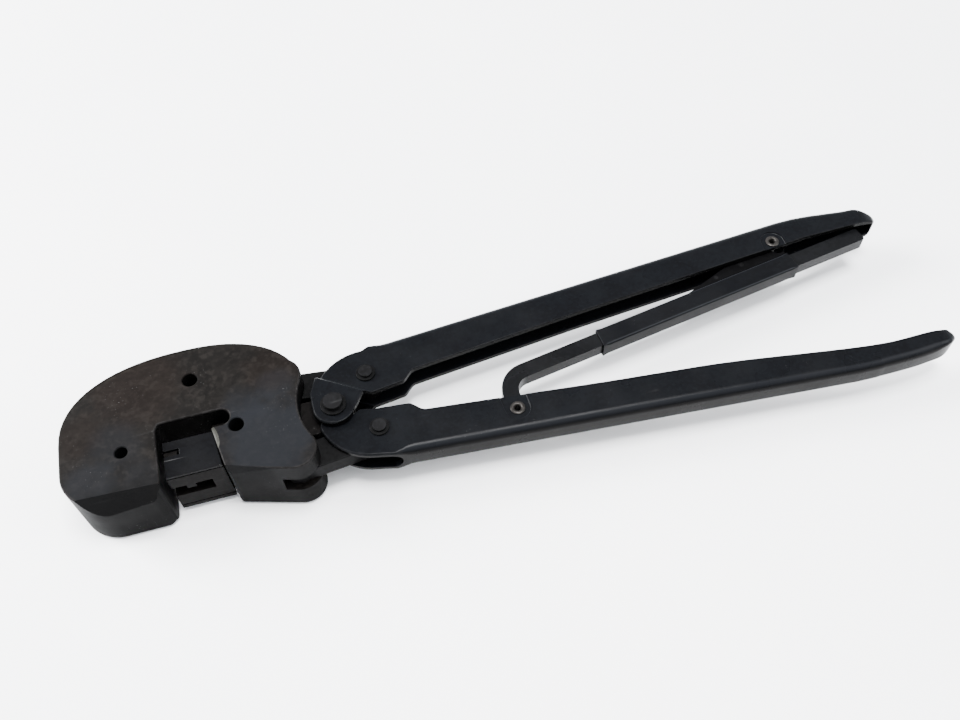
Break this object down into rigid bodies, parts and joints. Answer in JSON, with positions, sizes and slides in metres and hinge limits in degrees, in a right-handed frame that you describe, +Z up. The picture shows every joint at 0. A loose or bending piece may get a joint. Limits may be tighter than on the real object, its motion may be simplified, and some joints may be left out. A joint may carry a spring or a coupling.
{
  "type": "hand crimping tool",
  "caption": "Heavy-head hand crimping tool: forged C-shaped head, ram driven by a two-link toggle, pressed-channel handles and a sliding full-cycle ratchet.",
  "frame": {"origin": "middle of the tool's length and width, on the surface it lies on", "axes": "+X along the ram axis from the anvil end of the head to the handle tips, +Z up, away from the surface it lies on"},
  "size_m": [0.3346, 0.0788, 0.028],
  "materials": {
    "head_black": "matt",
    "handle_black": "satin",
    "linkage_steel": "satin",
    "ram_steel": "satin",
    "pin_steel": "satin",
    "ratchet_steel": "satin",
    "rivet_steel": "worn",
    "spring_steel": "satin"
  },
  "bodies": {
    "head": {"head_frame": "head_black", "upper_link_pin": "pin_steel", "lower_link_pin": "pin_steel"},
    "ram": {"ram": "ram_steel", "ram_top_plate": "ram_steel", "ram_bottom_plate": "ram_steel", "die_retainer": "ram_steel", "ram_plate_screws": "pin_steel", "main_pivot_pin": "pin_steel", "main_pin_rings": "pin_steel"},
    "upper_handle": {"upper_handle": "handle_black", "upper_toggle_pin": "pin_steel", "upper_toggle_rings": "pin_steel", "case_rivet": "rivet_steel"},
    "lower_handle": {"lower_handle": "handle_black", "lower_toggle_pin": "pin_steel", "lower_toggle_rings": "pin_steel", "bar_rivet": "rivet_steel", "bar_spacers": "pin_steel"},
    "upper_link": {"upper_link": "linkage_steel"},
    "lower_link": {"lower_link": "linkage_steel"},
    "ratchet_bar": {"ratchet_bar": "ratchet_steel"},
    "ratchet_case": {"ratchet_case": "ratchet_steel", "pawl_pin": "pin_steel", "spring_post": "pin_steel", "pawl_spring": "spring_steel"},
    "ratchet_pawl": {"ratchet_pawl": "ratchet_steel"}
  },
  "joints": [
    {"name": "handles_open", "type": "hinge", "parent": "ram", "child": "upper_handle", "pos_m": [-0.07005, 0, 0.0155], "axis": [0, 0, 1], "range_deg": [0, 16]},
    {"name": "lower_handle_turn", "type": "hinge", "parent": "ram", "child": "lower_handle", "pos_m": [-0.07005, 0, 0.0155], "axis": [0, 0, 1], "range_deg": [-16.2, 0.2]},
    {"name": "ram_slide", "type": "slide", "parent": "head", "child": "ram", "axis": [1, 0, 0], "range_m": [-0.0001, 0.0043]},
    {"name": "upper_link_turn", "type": "hinge", "parent": "head", "child": "upper_link", "pos_m": [-0.08685, 0.0159, 0.0155], "axis": [0, 0, 1], "range_deg": [-0.2, 6.73]},
    {"name": "lower_link_turn", "type": "hinge", "parent": "head", "child": "lower_link", "pos_m": [-0.08685, -0.0159, 0.0155], "axis": [0, 0, 1], "range_deg": [-6.73, 0.2]},
    {"name": "bar_swing", "type": "hinge", "parent": "lower_handle", "child": "ratchet_bar", "pos_m": [-0.00505, -0.0185, 0.0155], "axis": [0, 0, 1], "range_deg": [-0.2, 43.14]},
    {"name": "case_slide", "type": "slide", "parent": "ratchet_bar", "child": "ratchet_case", "axis": [0.9866, 0.1633, 0], "range_m": [-0.0001, 0.0305]},
    {"name": "pawl_rock", "type": "hinge", "parent": "ratchet_case", "child": "ratchet_pawl", "pos_m": [0.1036, 0.0232, 0.0155], "axis": [0, 0, 1], "range_deg": [0, 9], "stiffness_Nm_per_rad": 0.02}
  ],
  "couplings": [
    {"joint": "lower_handle_turn", "follows": "handles_open", "ratio": -1},
    {"joint": "ram_slide", "follows": "handles_open", "m_per_rad": 0.014695},
    {"joint": "upper_link_turn", "follows": "handles_open", "ratio": 0.4083},
    {"joint": "lower_link_turn", "follows": "handles_open", "ratio": -0.4083},
    {"joint": "bar_swing", "follows": "handles_open", "ratio": 2.6775},
    {"joint": "case_slide", "follows": "handles_open", "m_per_rad": 0.10842}
  ]
}
